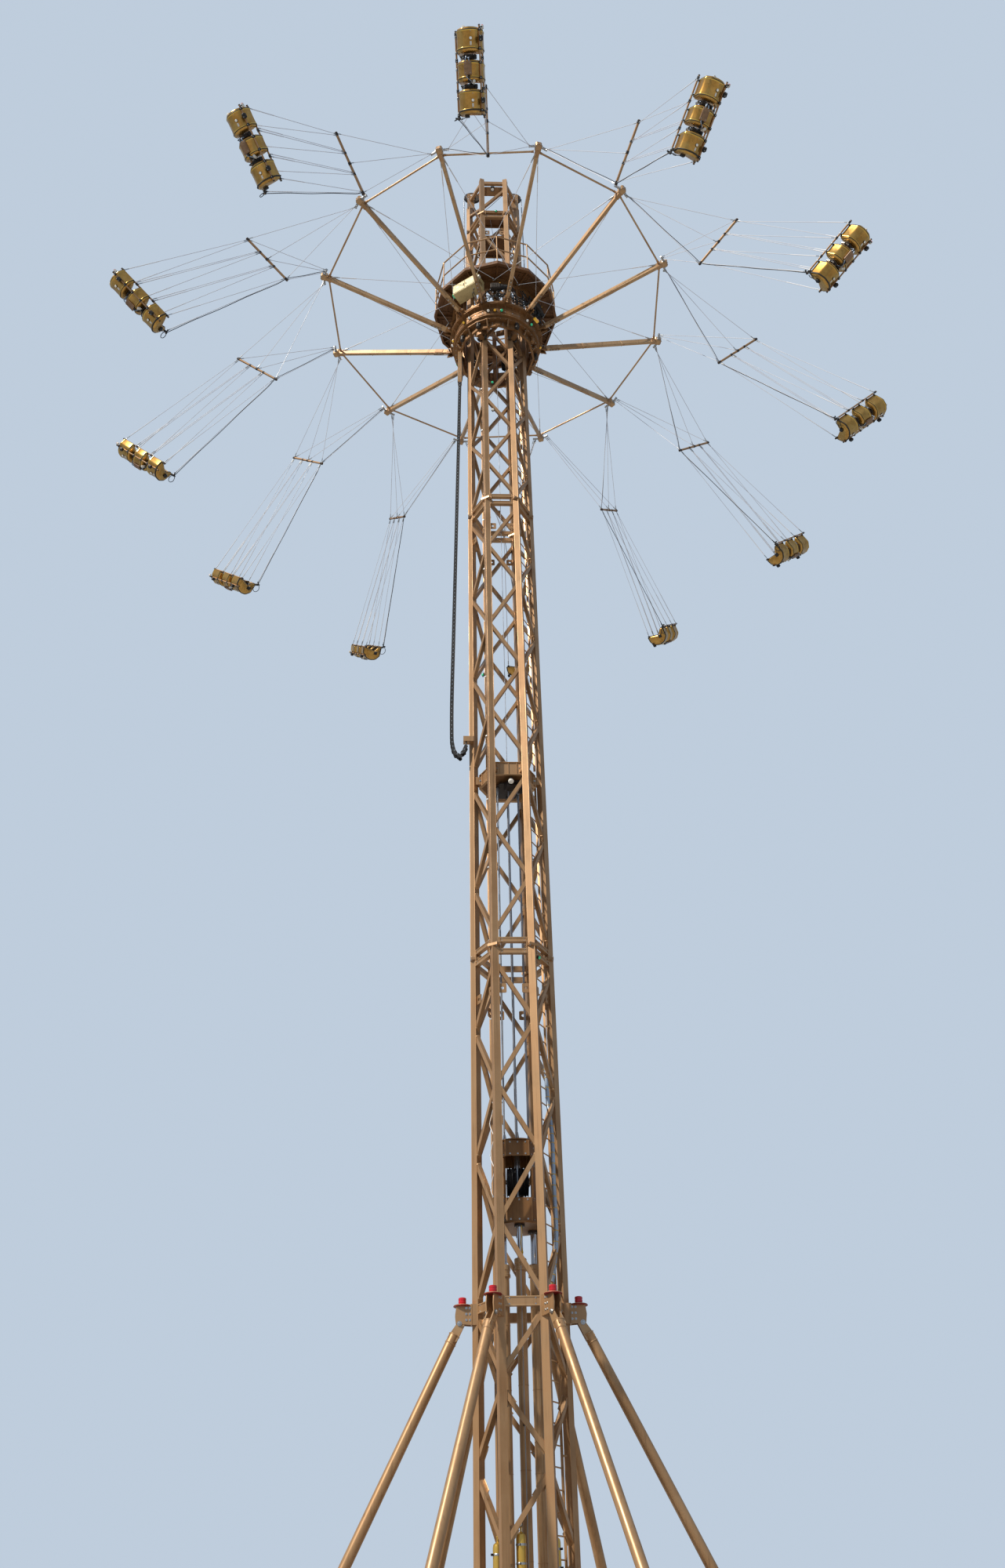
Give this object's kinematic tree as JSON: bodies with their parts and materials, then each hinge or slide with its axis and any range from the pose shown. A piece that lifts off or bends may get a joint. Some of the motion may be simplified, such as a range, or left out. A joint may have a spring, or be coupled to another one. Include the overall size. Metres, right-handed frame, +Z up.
{
  "type": "chair swing tower ride",
  "caption": "Hexagonal lattice tower with a climbing carriage, a slewing ring of radial arms and bench gondolas with bucket seats hung on cables between the arm tips.",
  "frame": {"origin": "the tower's axis at ground level, on the underside of the base frame", "axes": "+Z up the tower, -Y towards the tower's front flat, +X to the right seen from the front"},
  "size_m": [18.5178, 18.5178, 36.15],
  "materials": {
    "tower_paint": "bronze paint, satin, a little weathered",
    "dark_bronze": "darker bronze paint, satin",
    "seat_shell": "gold paint, semi-gloss",
    "steel_cable": "galvanised wire rope and plain steel",
    "black_parts": "black, matt",
    "cabinet_paint": "beige paint, satin"
  },
  "bodies": {
    "tower": {"base_frame": "tower_paint", "tower_section_lower": "tower_paint", "tower_section_middle": "tower_paint", "tower_section_upper": "tower_paint", "tower_head": "tower_paint", "strut_1": "tower_paint", "strut_2": "tower_paint", "strut_3": "tower_paint", "strut_4": "tower_paint", "strut_5": "tower_paint", "strut_6": "tower_paint", "lift_cylinders": "dark_bronze", "pulley_deck": "tower_paint", "hoist_falls": "steel_cable", "energy_chain": "black_parts", "carriage_rope_left": "steel_cable", "carriage_rope_right": "steel_cable"},
    "block": {"hoist_block": "black_parts"},
    "carriage": {"carriage_frame": "dark_bronze", "work_platform": "dark_bronze", "platform_railing": "tower_paint"},
    "ring": {"slew_ring": "dark_bronze", "control_cabinet": "cabinet_paint", "arm_1": "tower_paint", "arm_2": "tower_paint", "arm_3": "tower_paint", "arm_4": "tower_paint", "arm_5": "tower_paint", "arm_6": "tower_paint", "arm_7": "tower_paint", "arm_8": "tower_paint", "arm_9": "tower_paint", "arm_10": "tower_paint", "arm_11": "tower_paint", "arm_12": "tower_paint"},
    "seat_1": {"hanger_1": "steel_cable", "gondola_1": "seat_shell"},
    "seat_2": {"hanger_2": "steel_cable", "gondola_2": "seat_shell"},
    "seat_3": {"hanger_3": "steel_cable", "gondola_3": "seat_shell"},
    "seat_4": {"hanger_4": "steel_cable", "gondola_4": "seat_shell"},
    "seat_5": {"hanger_5": "steel_cable", "gondola_5": "seat_shell"},
    "seat_6": {"hanger_6": "steel_cable", "gondola_6": "seat_shell"},
    "seat_7": {"hanger_7": "steel_cable", "gondola_7": "seat_shell"},
    "seat_8": {"hanger_8": "steel_cable", "gondola_8": "seat_shell"},
    "seat_9": {"hanger_9": "steel_cable", "gondola_9": "seat_shell"},
    "seat_10": {"hanger_10": "steel_cable", "gondola_10": "seat_shell"},
    "seat_11": {"hanger_11": "steel_cable", "gondola_11": "seat_shell"},
    "seat_12": {"hanger_12": "steel_cable", "gondola_12": "seat_shell"}
  },
  "joints": [
    {"name": "carriage_lift", "type": "slide", "parent": "tower", "child": "carriage", "axis": [0, 0, 1], "range_m": [-21, 0], "deforming": ["energy_chain", "carriage_rope_left", "carriage_rope_right"]},
    {"name": "block_lift", "type": "slide", "parent": "tower", "child": "block", "axis": [0, 0, 1], "range_m": [0, 5.26], "deforming": ["hoist_falls"]},
    {"name": "ring_spin", "type": "hinge", "parent": "carriage", "child": "ring", "pos_m": [0, 0, 29.2], "axis": [0, 0, 1], "continuous": true},
    {"name": "swing_1", "type": "hinge", "parent": "ring", "child": "seat_1", "pos_m": [-0.2805, -4.33761, 30.79], "axis": [-0.9979, 0.0645, 0], "range_deg": [-45, 10]},
    {"name": "swing_2", "type": "hinge", "parent": "ring", "child": "seat_2", "pos_m": [1.92588, -3.89673, 30.79], "axis": [-0.8965, -0.4431, 0], "range_deg": [-45, 10]},
    {"name": "swing_3", "type": "hinge", "parent": "ring", "child": "seat_3", "pos_m": [3.61623, -2.41172, 30.79], "axis": [-0.5548, -0.832, 0], "range_deg": [-45, 10]},
    {"name": "swing_4", "type": "hinge", "parent": "ring", "child": "seat_4", "pos_m": [4.33761, -0.2805, 30.79], "axis": [-0.0645, -0.9979, 0], "range_deg": [-45, 10]},
    {"name": "swing_5", "type": "hinge", "parent": "ring", "child": "seat_5", "pos_m": [3.89673, 1.92588, 30.79], "axis": [0.4431, -0.8965, 0], "range_deg": [-45, 10]},
    {"name": "swing_6", "type": "hinge", "parent": "ring", "child": "seat_6", "pos_m": [2.41172, 3.61623, 30.79], "axis": [0.832, -0.5548, 0], "range_deg": [-45, 10]},
    {"name": "swing_7", "type": "hinge", "parent": "ring", "child": "seat_7", "pos_m": [0.2805, 4.33761, 30.79], "axis": [0.9979, -0.0645, 0], "range_deg": [-45, 10]},
    {"name": "swing_8", "type": "hinge", "parent": "ring", "child": "seat_8", "pos_m": [-1.92588, 3.89673, 30.79], "axis": [0.8965, 0.4431, 0], "range_deg": [-45, 10]},
    {"name": "swing_9", "type": "hinge", "parent": "ring", "child": "seat_9", "pos_m": [-3.61623, 2.41172, 30.79], "axis": [0.5548, 0.832, 0], "range_deg": [-45, 10]},
    {"name": "swing_10", "type": "hinge", "parent": "ring", "child": "seat_10", "pos_m": [-4.33761, 0.2805, 30.79], "axis": [0.0645, 0.9979, 0], "range_deg": [-45, 10]},
    {"name": "swing_11", "type": "hinge", "parent": "ring", "child": "seat_11", "pos_m": [-3.89673, -1.92588, 30.79], "axis": [-0.4431, 0.8965, 0], "range_deg": [-45, 10]},
    {"name": "swing_12", "type": "hinge", "parent": "ring", "child": "seat_12", "pos_m": [-2.41172, -3.61623, 30.79], "axis": [-0.832, 0.5548, 0], "range_deg": [-45, 10]}
  ],
  "couplings": [
    {"joint": "block_lift", "follows": "carriage_lift", "ratio": -0.25}
  ]
}
